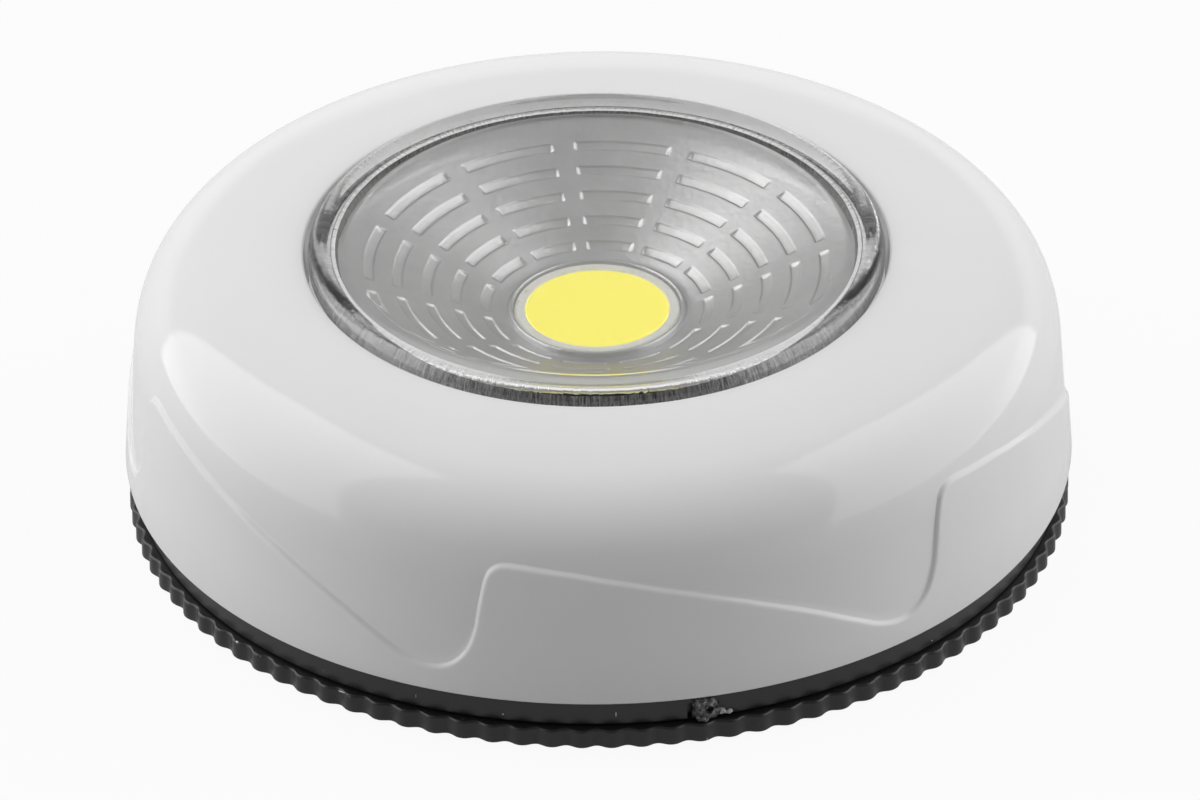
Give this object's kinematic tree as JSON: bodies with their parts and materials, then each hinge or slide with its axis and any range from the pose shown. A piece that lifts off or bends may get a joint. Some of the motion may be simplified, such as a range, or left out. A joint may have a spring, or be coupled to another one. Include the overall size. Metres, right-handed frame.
{
  "type": "puck light",
  "caption": "Round stick-on battery puck light: domed white shell with a saw-tooth relief, clear-lensed push head over a flat LED, black twist-off base with a knurled rim.",
  "frame": {"origin": "centre of the light on the adhesive pad's lower face, the face that meets the wall or cabinet", "axes": "+Z along the light's axis, away from the surface it is stuck on, out of the lens; -Y is the side that faces the camera in the picture, and +X is to its right"},
  "size_m": [0.0684, 0.0684, 0.0219],
  "materials": {
    "white_shell": "glossy injection-moulded ABS",
    "black_plastic": "semi-matt injection-moulded ABS",
    "foam": "double-sided adhesive foam",
    "clear_lens": "clear moulded acrylic",
    "silvered": "vacuum-metallised plastic",
    "led_board": "white solder mask on aluminium",
    "silicone": "cast silicone dam",
    "phosphor": "phosphor in clear silicone",
    "grey_plastic": "injection-moulded ABS",
    "contact_metal": "nickel-plated spring steel",
    "steel": "zinc-plated steel",
    "cell_jacket": "printed shrink jacket",
    "switch_black": "moulded PBT",
    "ceramic": "glazed resistor body",
    "wire_red": "PVC insulation",
    "wire_black": "PVC insulation"
  },
  "bodies": {
    "base": {"adhesive_pad": "foam", "battery_cover": "black_plastic"},
    "housing": {"housing_shell": "white_shell", "battery_chassis": "black_plastic", "cell_left": "cell_jacket", "cell_middle": "cell_jacket", "cell_right": "cell_jacket", "cell_spring_left": "steel", "cell_spring_middle": "steel", "cell_spring_right": "steel", "contact_plus": "contact_metal", "contact_minus": "contact_metal", "contact_bridge_back": "contact_metal", "contact_bridge_front": "contact_metal", "chassis_screw_1": "steel", "chassis_screw_2": "steel", "chassis_screw_3": "steel", "chassis_screw_4": "steel", "switch_case": "switch_black", "switch_tag_in": "contact_metal", "switch_tag_out": "contact_metal", "lead_battery": "wire_red", "lead_switch": "wire_red", "lead_return": "wire_black", "lead_tail_plus": "wire_red", "lead_tail_minus": "wire_black", "return_spring_1": "steel", "return_spring_2": "steel", "return_spring_3": "steel", "return_spring_4": "steel"},
    "light_head": {"lens": "clear_lens", "reflector": "silvered", "cob_board": "led_board", "cob_dam": "silicone", "cob_phosphor": "phosphor", "limit_resistor": "ceramic", "head_carrier": "grey_plastic", "reflector_screw_1": "steel", "reflector_screw_2": "steel", "reflector_screw_3": "steel"},
    "plunger": {"switch_plunger": "grey_plastic"}
  },
  "joints": [
    {"name": "housing_twist", "type": "hinge", "parent": "base", "child": "housing", "pos_m": [0, 0, 0], "axis": [0, 0, 1], "range_deg": [0, 18]},
    {"name": "head_press", "type": "slide", "parent": "housing", "child": "light_head", "axis": [0, 0, -1], "range_m": [0, 0.0012], "stiffness_N_per_m": 1500, "springref_m": -0.001, "deforming": ["return_spring_1", "return_spring_2", "return_spring_3", "return_spring_4", "lead_tail_plus", "lead_tail_minus"]},
    {"name": "plunger_travel", "type": "slide", "parent": "housing", "child": "plunger", "axis": [0, 0, -1], "range_m": [0, 0.0012], "stiffness_N_per_m": 100, "springref_m": -0.001}
  ],
  "couplings": [
    {"joint": "plunger_travel", "follows": "head_press", "ratio": 1}
  ]
}
